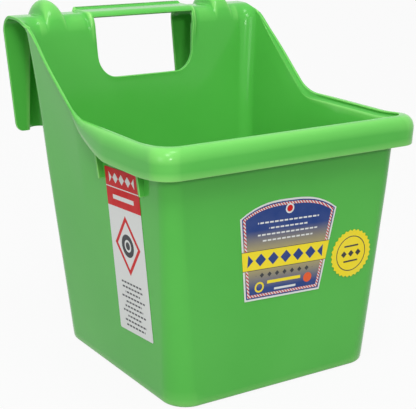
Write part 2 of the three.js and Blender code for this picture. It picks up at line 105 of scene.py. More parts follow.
# ---- outline of the tub: a place is (side, stretch, share from front to back)
def outline(place, z, reach):
    """The outline's point at height z, moved outward by reach.

    The lip's front corners stay tighter than an offset.
    """
    side, stretch, share = place
    radius = corner_radius(z)
    front_radius = radius + (reach * LIP_CORNER_SHARE if reach > 0 else reach)
    front_centre, rear_centre = front_at(z) - reach + front_radius, back_at(z) - radius
    x, y = half_width(z) + reach, lerp(front_centre, rear_centre, share)
    if stretch == "front":
        return Vector((side * lerp(0, x - front_radius, share), front_at(z) - reach, z))
    if stretch == "front_corner":
        a = (share - 1) * math.pi / 2
        x += front_radius * (math.cos(a) - 1)
        y = front_centre + front_radius * math.sin(a)
    if stretch == "rear_corner":
        a = share * math.pi / 2
        x += (radius + reach) * (math.cos(a) - 1)
        y = rear_centre + (radius + reach) * math.sin(a)
    return Vector((side * x, y, z))


knee_height = RIM - RIM_DIP
knee_setback = KNEE_RADIUS * math.tan(slope_angle / 2)
shoulder_setback = SHOULDER_RADIUS * math.tan(slope_angle / 2)
shoulder_vertex = KNEE + (HOOK - knee_height) / slope
shoulder_end = shoulder_vertex + shoulder_setback
bend_start = HOOK - BEND


def rim_height(y):
    knee_start = KNEE - knee_setback
    shoulder_start = shoulder_vertex - shoulder_setback * math.cos(slope_angle)
    if y < knee_start:
        f = front_at(RIM)
        level = RIM - CORNER_RISE * smooth(y, f, f + CORNER_RISE_LENGTH)
        return level - (RIM_DIP - CORNER_RISE) * clamp((y - f) / (knee_start - f))
    if y < KNEE + knee_setback * math.cos(slope_angle):
        return knee_height + KNEE_RADIUS - math.sqrt(KNEE_RADIUS ** 2 - (y - knee_start) ** 2)
    if y < shoulder_start:
        return knee_height + slope * (y - KNEE)
    if y < shoulder_end:
        return HOOK - SHOULDER_RADIUS + math.sqrt(SHOULDER_RADIUS ** 2 - (shoulder_end - y) ** 2)
    return HOOK


def crest_height(place):
    side, stretch, share = place
    start = (side, stretch, 0) if stretch == "rear_corner" else place
    crest = RIM
    for _ in range(CREST_LOOPS):
        crest = rim_height(outline(start, crest, 0).y)
    if stretch == "rear_corner":
        return lerp(crest, bend_start - RIM_TO_HOOK, share)
    return crest


def lip_share(place, crest):
    """1 where the lip is whole, falling to 0 where it has run out on the slope."""
    if place[1] in ("front", "front_corner"):
        return 1.0
    if place[1] == "rear_corner":
        return 0.0
    t = clamp((outline(place, crest, 0).y - LIP_FADE_START) / LIP_FADE_LENGTH)
    return 1 - t ** LIP_FADE_POWER


def at_hook(place, start):
    """0 along the rim, rising to 1 where the rim reaches the hook."""
    if place[1] == "rear_corner":
        return 1.0
    return smooth(place[2], start, 1) if place[1] == "side" else 0.0


def rim_lean(place):
    """How far the rim's last few millimetres lean outward."""
    if place[1] == "front":
        return RIM_LEAN_FRONT
    if place[1] == "front_corner":
        return lerp(RIM_LEAN_FRONT, RIM_LEAN_SIDE, place[2])
    return RIM_LEAN_SIDE * (1 - at_hook(place, HOOK_BLEND))


@functools.cache
def flare_depth(place):
    """The flare reaches further down on the slope than under the lip."""
    if place[1] == "side":
        return lerp(SLOPE_FLARE_DEPTH, FLARE_DEPTH, lip_share(place, crest_height(place)))
    return SLOPE_FLARE_DEPTH if place[1] == "rear_corner" else FLARE_DEPTH


def flare_at(place, drop):
    """Outward flare of the wall at a drop below its top, as one smooth curve."""
    t = clamp(1 - drop / flare_depth(place))
    return FLARE * (1 - place[2] if place[1] == "rear_corner" else 1) * t * t


def wall_at(place, drop):
    """Thickness of the wall, which thins out towards the rim."""
    return lerp(WALL, RIM_WALL, clamp(1 - drop / FLARE_DEPTH) * (1 - at_hook(place, HOOK_BLEND)))


# ---- the moulding as two matched sheets, inside and outside, closed by a rounded edge
# Profile of a plain edge, as shares of the way from the upper sheet to the lower one and of the edge's height
SIMPLE_EDGE = [(0, 0), (0, .3), (0, .42), (0, .5), (0, .58), (.015, .72), (.06, .85), (.13, .94), (.21, .99),
               (.3, 1), (.4, 1), (.5, 1), (.6, 1), (.7, 1), (.79, .99), (.87, .94), (.94, .85), (.985, .72),
               (1, .58), (1, .5), (1, .42), (1, .35), (1, .28), (1, .21), (1, .14), (1, .07), (1, 0)]
RIM_EDGE = 8.0          # how far below the crest the sheets end on the rim
RIM_EDGE_AT_HOOK = 4.0  # and where the rim reaches the hook
CREASE = 1.2            # depth of the crease under the rim's inner edge
HOOK_EDGE = 1.5         # how far inside its outline the hook's sheets end
HOOK_BLEND, EDGE_BLEND = .8, .88    # shares of a side from which the rim turns into the hook
CREST_LOOPS, HALVINGS = 12, 40      # repeats when a crest or a turning point is sought
WALL_START = 9.0        # height of the walls' lowest row, above the fillets of the foot
WALL_STEPS, WALL_STEPS_SHARE = 21, .8
FILLET_STEPS = 6
FLOOR_RINGS = 5
BACK_STRAIGHT = 70      # columns of the back wall this near the middle stand upright

inner_back = back_at(bend_start) - WALL
flap_face = back_at(bend_start) + BOARD_GAP + HOOK_THICKNESS
hook_edge = half_width(bend_start) + FLARE
rib_place = hook_edge - RIB_FROM_EDGE
hole_top = HOOK - HOLE_BELOW_CREST
hole_bottom = hole_top - HOLE_HEIGHT
beside_hole_levels = (-HOLE_MARGIN, -HOOK_EDGE, 3, 7.5, 12, 16.5, HOLE_CORNER, 29, 36, 42)
back_levels = [hole_bottom + level for level in beside_hole_levels] + [bend_start]
HEIGHTS = [i / WALL_STEPS * WALL_STEPS_SHARE for i in range(WALL_STEPS)]
HEIGHTS += [(z - WALL_START) / (bend_start - WALL_START) for z in back_levels]
HOLE_ROW = WALL_STEPS + 1    # the row of the back wall that runs along the hand hole's lower edge


def rim_edge(place):
    return lerp(RIM_EDGE, RIM_EDGE_AT_HOOK, at_hook(place, HOOK_BLEND))


def rim_profile(place, crest, s):
    """Points across the rim, from the inner sheet to the outer one, as (outward, drop from the crest).

    The plain sheet's round edge on the slope becomes the whole lip at the front and sides.
    """
    def inside(dz):
        return flare_at(place, -dz) - wall_at(place, -dz)

    def outside(dz):
        return flare_at(place, -dz)

    def over(start, reach, fall, steps):
        turns = [i / steps * math.pi / 2 for i in range(1, steps + 1)]
        return [(start + (reach - start) * math.sin(t), -fall * (1 - math.cos(t))) for t in turns]

    last = -rim_edge(place)
    brink = outside(0) + rim_lean(place)
    inner_top = brink - RIM_WALL
    brow = [(inner_top, -1.3), (inner_top + .1, -.7), (inner_top + .35, -.3), (inner_top + .75, -.05),
            (inner_top + 1.2, 0)]
    # the plain edge: up the inner sheet, over the brow and down the outer sheet
    edge = [(inside(last * k), last * k) for k in (1, .9, .78)]
    edge += [(lerp(inside(-4.4), inner_top, .3), -4.4), (lerp(inside(-2.6), inner_top, .8), -2.6)]
    edge += brow + over(inner_top + 1.2, brink, 2.6, 8)
    edge += [(brink, -3.4), (brink - .15, -4.2), (lerp(outside(-4.9), brink, .7), -4.9)]
    edge += [(lerp(outside(-5.6), brink, .25), -5.6)]
    edge += [(outside(last * k), last * k) for k in (.8, .85, .9, .95, 1)]
    # the whole lip: crease, brow, outer face, foot, and up inside its pocket to the wall
    out, foot, inner = FLARE + LIP_REACH, -LIP_DEPTH, FLARE + LIP_REACH - LIP_THICKNESS
    lip = [(inside(last), last), (inside(-5.6), -5.6)]
    lip += [(inner_top + CREASE * .7, -4.4), (inner_top + CREASE, -2.7), (inner_top + .2, -1.9)]
    lip += brow + [(inner_top + 3.2, -.1)] + over(inner_top + 3.2, out, 14, 7)
    lip += [(out + .1, -21), (out + .3, foot + 1.1), (out + .1, foot + .35), (out - .8, foot)]
    lip += [(inner + .4, foot + .05), (inner, foot + .7), (inner, -LIP_POCKET - 2.5)]
    lip += [(brink + 1, -LIP_POCKET), (outside(-LIP_POCKET - 2), -LIP_POCKET - 2)]
    points = []
    plain = at_hook(place, EDGE_BLEND)
    for k, (across, high) in enumerate(SIMPLE_EDGE):
        dz = last * (1 - high)
        sheet = (outside(dz) - wall_at(place, -dz) * (1 - across), dz)
        low = [lerp(edge[k][m], sheet[m], plain) for m in (0, 1)]
        points.append([lerp(low[m], lip[k][m], s) for m in (0, 1)])
    return [outline(place, crest + dz, reach) for reach, dz in points]


def rib_half_width(z):
    share = clamp((bend_start - z) / (bend_start - FLAP_TIP))
    return lerp(RIB_TOP_WIDTH, RIB_TIP_WIDTH, share) / 2


def shrink(z):
    return flap_taper * max(bend_start - z, 0)


RIB_ROUND, RIB_END = .93, 1.12    # where a rib's round ends and where its fillet ends, in half-widths


def rib_height_share(t):
    """A half-round rib whose feet run out in small fillets. t is in half-widths from its middle."""
    t = abs(t)
    if t < RIB_ROUND:
        return math.sqrt(1 - t * t)
    u = clamp((t - RIB_ROUND) / (RIB_END - RIB_ROUND))
    h0 = math.sqrt(1 - RIB_ROUND ** 2)
    m0 = -RIB_ROUND / h0 * (RIB_END - RIB_ROUND)
    return h0 * (2 * u ** 3 - 3 * u * u + 1) + m0 * (u ** 3 - 2 * u * u + u)


def hole_shift(x, z):
    """Where a sheet's point near a lower corner of the hand hole goes, so that the corner is round."""
    side = math.copysign(1, x)
    half, r = HOLE_WIDTH / 2 + HOOK_EDGE, HOLE_CORNER + HOOK_EDGE
    low = hole_bottom - HOOK_EDGE
    ax = abs(x)
    px, pz = clamp(ax, half - r, half), clamp(z, low, low + r)
    if ax < half - r or z > low + r:
        return x, z
    if half - px < pz - low:
        px = half
        a = -math.pi / 4 * (low + r - pz) / r
    else:
        pz = low
        a = -math.pi / 2 + math.pi / 4 * (px - (half - r)) / r
    tx, tz = half - r + r * math.cos(a), low + r + r * math.sin(a)
    fade = clamp(1 - math.hypot(ax - px, z - pz) / HOLE_CORNER_FADE)
    return side * (ax + (tx - px) * fade), z + (tz - pz) * fade


def swell(lift, z):
    """How far the raised border of the handle bar stands off the back wall beside the hand hole."""
    return lift * smooth(z, SWELL_START, SWELL_END)


def hole_taper(x, z):
    """The share of its distance from the middle that a column keeps at z.

    It makes the hand hole's sides run parallel to the tub's, and fades out away from the hole and below it.
    """
    narrow = (1 - HOLE_FOOT_WIDTH / HOLE_WIDTH) * clamp((hole_top - z) / HOLE_HEIGHT)
    beside = 1 - smooth(x, HOLE_WIDTH / 2 + HOOK_EDGE, HOLE_TAPER_END)
    return 1 - narrow * beside * smooth(z, HOLE_TAPER_FOOT, hole_bottom - HOLE_MARGIN)


def back_x(x_top, z):
    """A column of the back wall follows the taper of the tub where it is away from the hand hole."""
    if x_top <= BACK_STRAIGHT:
        return x_top
    corner, top = half_width(z) - corner_radius(z), half_width(bend_start) - corner_radius(bend_start)
    return BACK_STRAIGHT + (x_top - BACK_STRAIGHT) * (corner - BACK_STRAIGHT) / (top - BACK_STRAIGHT)


# Rows of the hook's sheets: up its front, over its flat crest, down its rear bend and down the flap
FRONT_ROWS_LOW, FRONT_ROWS_HIGH = 7, 6
CREST_ROWS = 3
REAR_ROWS_LOW, REAR_ROWS_HIGH = 5, 8
FLAP_ROWS = 18
BAR_FRONT = FRONT_ROWS_LOW
BAR_REAR = FRONT_ROWS_LOW + FRONT_ROWS_HIGH + CREST_ROWS + REAR_ROWS_LOW
HOOK_ROWS = BAR_REAR + REAR_ROWS_HIGH + FLAP_ROWS + 1
FRONT_PULL, BAR_PULL = .31, .39    # how far the front's curve is drawn out, at the sides and at the bar
FLAP_ROW_POWER = 1.35              # rows of the flap draw closer towards its tip


def hook_rows(place, sideways, rib, lift, edge_gap):
    """The hook's upper sheet along one column, from the wall to the tip of the flap."""
    side, _, share = place
    bend = lerp(BEND, RIB_BEND, rib)
    crest = HOOK + RIB_HEIGHT * rib + lift
    rear = flap_face + RIB_HEIGHT * rib
    start_z = lerp(crest_height((side, "rear_corner", 0)) - RIM_EDGE_AT_HOOK, bend_start, share)
    drop = crest_height(place) - start_z
    if share < 1:
        start = outline(place, start_z, flare_at(place, max(drop, 0)) - WALL)
    else:
        start = Vector((side * sideways(start_z), back_at(start_z) - WALL - swell(lift, start_z), start_z))
    nose = lerp(bend, BAR_BEND, lift / HANDLE_RISE)
    front = Vector((side * sideways(crest), lerp(shoulder_end, inner_back + nose, share), crest))
    rear_y = max(rear - bend, front.y)
    reach = (start - front).length * lerp(FRONT_PULL, BAR_PULL, share)
    up = Vector((0, lerp(1, back_draft, share), lerp(slope, 1, share))).normalized()
    p1, p2 = start + up * reach, front - Vector((0, reach, 0))

    def bezier(t):
        u = 1 - t
        return start * u ** 3 + p1 * 3 * u * u * t + p2 * 3 * u * t * t + front * t ** 3

    lo, hi = 0.0, 1.0
    level = hole_top + HOOK_EDGE
    for _ in range(HALVINGS):
        mid = (lo + hi) / 2
        if bezier(mid).z < level:
            lo = mid
        else:
            hi = mid
    turn = lo
    rows = [bezier(turn * i / FRONT_ROWS_LOW) for i in range(FRONT_ROWS_LOW + 1)]
    rows += [bezier(lerp(turn, 1, i / FRONT_ROWS_HIGH)) for i in range(1, FRONT_ROWS_HIGH + 1)]
    rows += [Vector((side * sideways(crest), lerp(front.y, rear_y, i / CREST_ROWS), crest))
             for i in range(1, CREST_ROWS + 1)]
    angle = math.acos(clamp(1 - (crest - level) / bend, -1, 1))
    turns = [angle * i / REAR_ROWS_LOW for i in range(1, REAR_ROWS_LOW + 1)]
    turns += [lerp(angle, math.pi / 2, i / REAR_ROWS_HIGH) for i in range(1, REAR_ROWS_HIGH + 1)]
    for a in turns:
        z = crest - bend * (1 - math.cos(a))
        rows.append(Vector((side * sideways(z), lerp(rear_y, rear, math.sin(a)), z)))
    z0 = crest - bend
    inner, outer = edge_gap
    tip = FLAP_TIP + HOOK_EDGE
    for gap, radius in ((inner, FLAP_INNER_CORNER), (outer, FLAP_OUTER_CORNER)):
        if gap < radius:
            tip += radius - math.sqrt(radius ** 2 - (radius - gap) ** 2)
    for i in range(1, FLAP_ROWS + 1):
        z = lerp(z0, tip, 1 - (1 - i / FLAP_ROWS) ** FLAP_ROW_POWER)
        rows.append(Vector((side * sideways(z), rear, z)))
    return rows


FRONT_COLUMNS, CORNER_COLUMNS, SIDE_COLUMNS, SHOULDER_COLUMNS, RIB_COLUMNS = 7, 16, 64, 12, 24
HOLE_SIDE_COLUMNS = (86, 82.5, 79.5, 76.5, 74, 72, 70.5, 69, 67.5, 65.8, HOLE_WIDTH / 2 + HOOK_EDGE)
BAR_COLUMNS = (62.3, 59.8, 56, 51.5, 46, 39, 30, 20, 10)
SHOULDER_SHARE, FLAP_MARGIN, FLAP_SPREAD = .98, 1.5, 1.1


def half_columns(side):
    """Columns of one half of the outline, from the middle of the front to the middle of the back.

    A column's way gives its distance from the middle at a height, and its rear_way that on the flap.
    """
    edge = hook_edge - HOOK_EDGE
    outermost, hole = HOLE_SIDE_COLUMNS[0], HOLE_SIDE_COLUMNS[-1]

    def border(z):
        return rib_place + RIB_END * rib_half_width(z)

    def slot_edge(z):
        """The inner edge of a flap, beside the gap behind the bar."""
        return FLAP_SPACING / 2 + HOOK_EDGE + shrink(z)

    def beside_edge(share):
        return lambda z: lerp(edge - shrink(z), border(z), share)

    def over_rib(t):
        return lambda z: rib_place + t * rib_half_width(z)

    def beside_hole(x):
        return lambda z: x * hole_taper(x, z)

    def down_flap(t):
        spread = t ** FLAP_SPREAD
        return lambda z: lerp(slot_edge(z), rib_place - RIB_END * rib_half_width(z) - FLAP_MARGIN, spread)

    def hook_column(share, way, **more):
        return dict(place=(side, "rear_corner", share), way=way, hook=True, **more)

    found = [dict(place=(side, "front", i / FRONT_COLUMNS)) for i in range(FRONT_COLUMNS)]
    found += [dict(place=(side, "front_corner", i / CORNER_COLUMNS)) for i in range(CORNER_COLUMNS + 1)]
    found += [dict(place=(side, "side", i / SIDE_COLUMNS)) for i in range(1, SIDE_COLUMNS)]
    straight_back = half_width(bend_start) - corner_radius(bend_start)
    span = (hook_edge - straight_back) / (hook_edge - border(bend_start))
    for i in range(SHOULDER_COLUMNS + 1):
        share = i / SHOULDER_COLUMNS
        found.append(hook_column(share, beside_edge(share * span * SHOULDER_SHARE), rib=0, lift=0))
    for i in range(RIB_COLUMNS + 1):
        t = math.cos(i / RIB_COLUMNS * math.pi) * RIB_END
        found.append(hook_column(1, over_rib(t), rib=rib_height_share(t), lift=0))
    for x in HOLE_SIDE_COLUMNS:
        lift = HANDLE_RISE * (1 - smooth(x, *LIFT_SPAN))
        t = (x - hole) / (outermost - hole)
        found.append(hook_column(1, beside_hole(x), rib=0, lift=lift, rear_way=down_flap(t), x=x))
    for x in BAR_COLUMNS:
        found.append(hook_column(1, beside_hole(x), rib=0, lift=HANDLE_RISE, bar=True))
    return found


middle_back = dict(place=(1, "rear_corner", 1), way=lambda z: 0.0, hook=True,
                   rib=0, lift=HANDLE_RISE, bar=True)
columns = half_columns(1) + [middle_back] + list(reversed(half_columns(-1)[1:]))
COUNT = len(columns)
WALL_ROWS = len(HEIGHTS)
TOP_ROW = WALL_ROWS - 1    # the last row of the walls, where the rim or the hook starts
TIP_LEVEL = FLAP_TIP + 8   # height at which a column's distance from the flap's edges is taken
NO_CORNER = 99


def edge_gaps(column):
    """How far a column of the flap lies from the flap's inner and outer edges at its tip."""
    if column.get("bar"):
        return NO_CORNER, NO_CORNER
    way = column.get("rear_way", column["way"])
    x = way(TIP_LEVEL)
    inner = x - (FLAP_SPACING / 2 + HOOK_EDGE + shrink(TIP_LEVEL))
    outer = hook_edge - HOOK_EDGE - shrink(TIP_LEVEL) - x
    return max(inner, 0), max(outer, 0)


def hook_sheet(column):
    """The hook's upper sheet along one column, which beside the hand hole moves over to the flap's way."""
    def rows(way):
        return hook_rows(column["place"], way, column["rib"], column["lift"], edge_gaps(column))

    if "rear_way" not in column:
        return rows(column["way"])
    front, rear = rows(column["way"]), rows(column["rear_way"])
    return [front[i].lerp(rear[i], clamp((i - BAR_REAR + REAR_ROWS_LOW) / REAR_ROWS_LOW))
            for i in range(HOOK_ROWS)]


def column_points(column):
    """One column's points up the inner and outer sheets, over the hook and across the rim."""
    place = column["place"]
    side = place[0]
    crest = crest_height(place)
    hook = column.get("hook", False)
    s = lip_share(place, crest)
    if hook:
        upper = hook_sheet(column)
        top_in = top_out = upper[0].z
    else:
        upper = None
        top_in, top_out = crest - rim_edge(place), crest - lerp(rim_edge(place), LIP_POCKET + 2, s)
    inner, outer = [], []
    straight = hook and place[2] == 1
    for f in HEIGHTS:
        for rows, top, inside in ((inner, top_in, True), (outer, top_out, False)):
            z = lerp(WALL_START, top, f)
            if straight:
                x_top = column["way"](hole_top)
                x, z = hole_shift(side * back_x(x_top, z), z)
                x *= hole_taper(x_top, z)
                rows.append(Vector((x, back_at(z) - (WALL + swell(column["lift"], z) if inside else 0), z)))
            else:
                drop = max(crest - z, 0)
                reach = flare_at(place, drop) - (wall_at(place, drop) if inside else 0)
                rows.append(outline(place, z, reach))
    rim = None if hook and place[2] > 0 else rim_profile(place, crest, s)
    return inner, outer, upper, rim


def across_sheet(grid, c, r):
    """Unit vector square to the upper sheet at one of its points, pointing to the lower sheet."""
    cols = [i for i in (c - 1, c + 1) if grid.get((i % COUNT, r)) is not None]
    a = grid[((c - 1) % COUNT, r)] if (c - 1) in cols else grid[(c, r)]
    b = grid[((c + 1) % COUNT, r)] if (c + 1) in cols else grid[(c, r)]
    d = grid.get((c, r - 1), grid[(c, r)])
    e = grid.get((c, r + 1), grid[(c, r)])
    return (b - a).cross(e - d).normalized()


# Rows of the hook over which its thickness, its flange beside the hand hole and its edge settle
THINNING_ROWS, FLANGE_ROWS, FLANGE_FADE_ROWS = 6, (3, 8), (BAR_REAR + 2, BAR_REAR + 9)
EDGE_ROWS, TURN_ROWS = 7, 3


def sheets():
    """Both sheets as {(column, row): point}, and the points across the rim of each column."""
    upper, lower, rims = {}, {}, {}
    for c, column in enumerate(columns):
        inner, outer, hook, rim = column_points(column)
        for r in range(WALL_ROWS):
            upper[c, r], lower[c, r] = inner[r], outer[r]
        if hook:
            for i in range(1, HOOK_ROWS):
                upper[c, TOP_ROW + i] = hook[i]
        if rim:
            rims[c] = rim
    for c, column in enumerate(columns):
        if not column.get("hook"):
            continue
        for i in range(1, HOOK_ROWS):
            r = TOP_ROW + i
            thick = lerp(WALL, HOOK_THICKNESS, smooth(i, 0, THINNING_ROWS))
            if "x" in column:
                flange = HOLE_FLANGE * (1 - smooth(column["x"], *FLANGE_SPAN))
                thick += flange * smooth(i, *FLANGE_ROWS) * (1 - smooth(i, *FLANGE_FADE_ROWS))
            lower[c, r] = upper[c, r] + across_sheet(upper, c, r) * thick
    return upper, lower, rims


def sheet_cells():
    """The sheets' cells as (column, next column, row), without the hand hole and the gap behind the bar."""
    cells = []
    for c in range(COUNT):
        d = (c + 1) % COUNT
        bar = columns[c].get("bar") or columns[d].get("bar")
        both = columns[c].get("hook") and columns[d].get("hook")
        for r in range(TOP_ROW + HOOK_ROWS - 1 if both else TOP_ROW):
            in_hole = HOLE_ROW <= r < TOP_ROW + BAR_FRONT
            behind_bar = r >= TOP_ROW + BAR_REAR
            if not (bar and (in_hole or behind_bar)):
                cells.append((c, d, r))
    return cells


def border_points(edges, upper, lower, rims):
    """Points across the thickness at each corner of the sheets' borders, from upper sheet to lower."""
    meeting = {}
    for a, b in edges:
        for k in (a, b):
            meeting.setdefault(k, []).append((a, b))
    across = {}
    for k, pairs in meeting.items():
        c, r = k
        if r == TOP_ROW and c in rims:
            across[k] = rims[c][1:-1]
            continue
        out = Vector((0, 0, 0))
        for a, b in pairs:
            out += (upper[b] - upper[a]).cross(lower[k] - upper[k]).normalized()
        out.normalize()
        size = HOOK_EDGE
        if c in rims and columns[c].get("hook"):
            size = lerp(RIM_EDGE_AT_HOOK, HOOK_EDGE, smooth(r - TOP_ROW, 0, EDGE_ROWS))
            out = Vector((0, 0, 1)).lerp(out, smooth(r - TOP_ROW, 0, TURN_ROWS)).normalized()
        across[k] = [upper[k].lerp(lower[k], s) + out * size * h for s, h in SIMPLE_EDGE[1:-1]]
    return across


def floor_rings(flat, radius, off):
    """Rings of points from a sheet's lowest row, round the fillet and over the floor towards its middle."""
    rings = []
    for i in range(1, FILLET_STEPS + 1):
        a = i / FILLET_STEPS * math.pi / 2
        z = flat + radius * (1 - math.sin(a))
        out = off - radius * (1 - math.cos(a))
        ring = []
        for column in columns:
            place = column["place"]
            if column.get("hook") and place[2] == 1:
                ring.append(Vector((place[0] * back_x(column["way"](hole_top), z), back_at(z) + out, z)))
            else:
                ring.append(outline(place, z, out))
        rings.append(ring)
    centre = Vector((0, 0, flat))
    return rings + [[p.lerp(centre, i / FLOOR_RINGS) for p in rings[-1]] for i in range(1, FLOOR_RINGS)]


def build_moulding():
    """The moulding as (points, faces), in millimetres."""
    upper, lower, rims = sheets()
    verts, faces, ids = [], [], {}

    def vid(kind, key, point):
        if (kind, key) not in ids:
            ids[kind, key] = len(verts)
            verts.append(point)
        return ids[kind, key]

    edges = {}
    for c, d, r in sheet_cells():
        ring = [(c, r), (d, r), (d, r + 1), (c, r + 1)]
        faces.append([vid("u", k, upper[k]) for k in reversed(ring)])
        faces.append([vid("l", k, lower[k]) for k in ring])
        for a, b in zip(ring, ring[1:] + ring[:1]):
            if (b, a) in edges:
                del edges[b, a]
            else:
                edges[a, b] = True
    edges = [e for e in edges if not (e[0][1] == 0 and e[1][1] == 0)]
    across = border_points(edges, upper, lower, rims)

    def across_edge(k):
        middle = [vid("m", (k, i), p) for i, p in enumerate(across[k])]
        return [vid("u", k, upper[k])] + middle + [vid("l", k, lower[k])]

    for a, b in edges:
        la, lb = across_edge(a), across_edge(b)
        for i in range(len(la) - 1):
            faces.append([la[i], lb[i], lb[i + 1], la[i + 1]])
    for kind, sheet, flat, radius, off in (("u", upper, FLOOR, FLOOR_EDGE, -WALL),
                                           ("l", lower, 0, BASE_EDGE, 0)):
        before = [vid(kind, (c, 0), sheet[c, 0]) for c in range(COUNT)]
        for i, ring in enumerate(floor_rings(flat, radius, off)):
            now = [vid(kind + "f", (c, i), p) for c, p in enumerate(ring)]
            for c in range(COUNT):
                d = (c + 1) % COUNT
                quad = [before[c], before[d], now[d], now[c]]
                faces.append(quad if kind == "u" else quad[::-1])
            before = now
        hub = vid(kind + "c", 0, Vector((0, 0, flat)))
        for c in range(COUNT):
            d = (c + 1) % COUNT
            faces.append([before[c], before[d], hub] if kind == "u" else [before[d], before[c], hub])
    return verts, faces


MILLIMETRE = .001
MERGE_DISTANCE = 1e-6                            # metres
BEVEL_STEPS, INSET_AREA, INSET = 3, 12, .4       # larger faces get an inset, so that they shade flat


def mesh_piece(name, verts, faces, material):
    """A Blender mesh object from points in millimetres."""
    mesh = bpy.data.meshes.new(name)
    mesh.from_pydata([tuple(v * MILLIMETRE) for v in verts], [], faces)
    obj = bpy.data.objects.new(name, mesh)
    bpy.context.scene.collection.objects.link(obj)
    bm = bmesh.new()
    bm.from_mesh(mesh)
    bmesh.ops.remove_doubles(bm, verts=bm.verts, dist=MERGE_DISTANCE)
    bmesh.ops.recalc_face_normals(bm, faces=bm.faces)
    bm.to_mesh(mesh)
    bm.free()
    mesh.materials.append(material)
    for p in mesh.polygons:
        p.use_smooth = True
    return obj


def prism(outline_xz, y0, y1, round_edge):
    """A closed prism along Y with rounded edges, as (points, faces), in millimetres."""
    bm = bmesh.new()
    ends = [[bm.verts.new((x, y, z)) for x, z in outline_xz] for y in (y0, y1)]
    bm.faces.new(ends[0])
    bm.faces.new(ends[1][::-1])
    for i in range(len(outline_xz)):
        j = (i + 1) % len(outline_xz)
        bm.faces.new([ends[0][i], ends[1][i], ends[1][j], ends[0][j]])
    bmesh.ops.recalc_face_normals(bm, faces=bm.faces)
    bmesh.ops.bevel(bm, geom=list(bm.edges), offset=round_edge, segments=BEVEL_STEPS, profile=.5,
                    affect="EDGES", clamp_overlap=True)
    flats = [f for f in bm.faces if f.calc_area() > INSET_AREA]
    bmesh.ops.inset_individual(bm, faces=flats, thickness=INSET, use_even_offset=True)
    # A bevel orders its points and faces anew in each run, so both are sorted
    points = sorted(bm.verts, key=lambda v: tuple(v.co))
    rank = {v: i for i, v in enumerate(points)}
    verts = [v.co.copy() for v in points]
    faces = sorted([rank[v] for v in f.verts] for f in bm.faces)
    bm.free()
    return verts, faces


def ridge():
    """The upstanding ridge along the rear edge of the handle bar."""
    foot, top = RIDGE_LENGTH / 2, HOOK + RIDGE_RISE
    end = foot - RIDGE_SLANT
    start = flap_face - BEND + RIDGE_BEHIND
    verts, faces = prism([(-foot, hole_top), (foot, hole_top), (end, top), (-end, top)],
                         start, start + RIDGE_THICKNESS, RIDGE_ROUND)
    for v in verts:
        if v.y < start + RIDGE_THICKNESS / 2:
            low = (top - v.z) / (top - hole_top)
            v.y -= RIDGE_LEAN * low
            v.z += RIDGE_FOOT_RISE * low
    return verts, faces


def lip_web(side, y):
    """A thin upright web that ties a side lip to the wall."""
    crest = rim_height(y)
    top, edge = crest - LIP_POCKET + WEB_SUNK, crest - LIP_DEPTH
    foot = edge - WEB_BELOW_LIP

    def at(z, reach):
        return side * (half_width(z) + reach), z

    corners = [at(foot, -WEB_SUNK), at(foot, WEB_FOOT_REACH), at(edge, WEB_REACH),
               at(top, WEB_REACH), at(top, WEB_TOP_INSET), at(edge, -WEB_SUNK)]
    return prism(corners, y - WEB_THICKNESS / 2, y + WEB_THICKNESS / 2, WEB_ROUND)


# ---- materials: procedural, in the object's own coordinates
def linear(r, g, b):
    """An sRGB colour of 0 to 255 as Blender's linear colour."""
    def one(v):
        v /= 255
        return v / 12.92 if v <= .04045 else ((v + .055) / 1.055) ** 2.4
    return one(r), one(g), one(b), 1.0


class Paint:
    """Short names for the nodes of one material."""

    def __init__(self, name, roughness, specular):
        self.material = bpy.data.materials.new(name)
        self.material.use_nodes = True
        self.tree = self.material.node_tree
        self.shader = self.tree.nodes["Principled BSDF"]
        self.shader.inputs["Roughness"].default_value = roughness
        self.shader.inputs["Specular IOR Level"].default_value = specular
        self.coordinates = self.tree.nodes.new("ShaderNodeTexCoord").outputs["Object"]

    def link(self, value, socket):
        if isinstance(value, bpy.types.NodeSocket):
            self.tree.links.new(value, socket)
        else:
            socket.default_value = value

    def math(self, operation, a, b=0.0):
        node = self.tree.nodes.new("ShaderNodeMath")
        node.operation = operation
        self.link(a, node.inputs[0])
        self.link(b, node.inputs[1])
        return node.outputs[0]

    def mix(self, share, a, b):
        node = self.tree.nodes.new("ShaderNodeMix")
        node.data_type = "RGBA"
        self.link(share, node.inputs["Factor"])
        self.link(a, node.inputs["A"])
        self.link(b, node.inputs["B"])
        return node.outputs["Result"]

    def noise(self, scale, detail=2.0, vector=None):
        node = self.tree.nodes.new("ShaderNodeTexNoise")
        node.inputs["Scale"].default_value = scale
        node.inputs["Detail"].default_value = detail
        self.tree.links.new(vector or self.coordinates, node.inputs["Vector"])
        return node.outputs["Fac"]

    def span(self, value, lo, hi, a, b):
        node = self.tree.nodes.new("ShaderNodeMapRange")
        self.link(value, node.inputs["Value"])
        for name, number in (("From Min", lo), ("From Max", hi), ("To Min", a), ("To Max", b)):
            node.inputs[name].default_value = number
        return node.outputs["Result"]

    def bump(self, height, strength, distance, before=None):
        node = self.tree.nodes.new("ShaderNodeBump")
        node.inputs["Strength"].default_value = strength
        node.inputs["Distance"].default_value = distance
        self.tree.links.new(height, node.inputs["Height"])
        if before is not None:
            self.tree.links.new(before, node.inputs["Normal"])
        return node.outputs["Normal"]

    def finish(self, colour, roughness=None, normal=None):
        self.link(colour, self.shader.inputs["Base Color"])
        if roughness is not None:
            self.link(roughness, self.shader.inputs["Roughness"])
        if normal is not None:
            self.link(normal, self.shader.inputs["Normal"])
        return self.material


# The palest green is a painted highlight, laid along convex edges and rims by their pointiness
GREEN_DEEP, GREEN_PALE, GREEN_PAINTED_HIGHLIGHT = (77, 176, 67), (85, 183, 74), (158, 232, 128)
MIDDLE_OF_NOISE = .3, .7        # the range that a noise texture mostly keeps to
PAINTED_HIGHLIGHT_POINTINESS = .507, .56
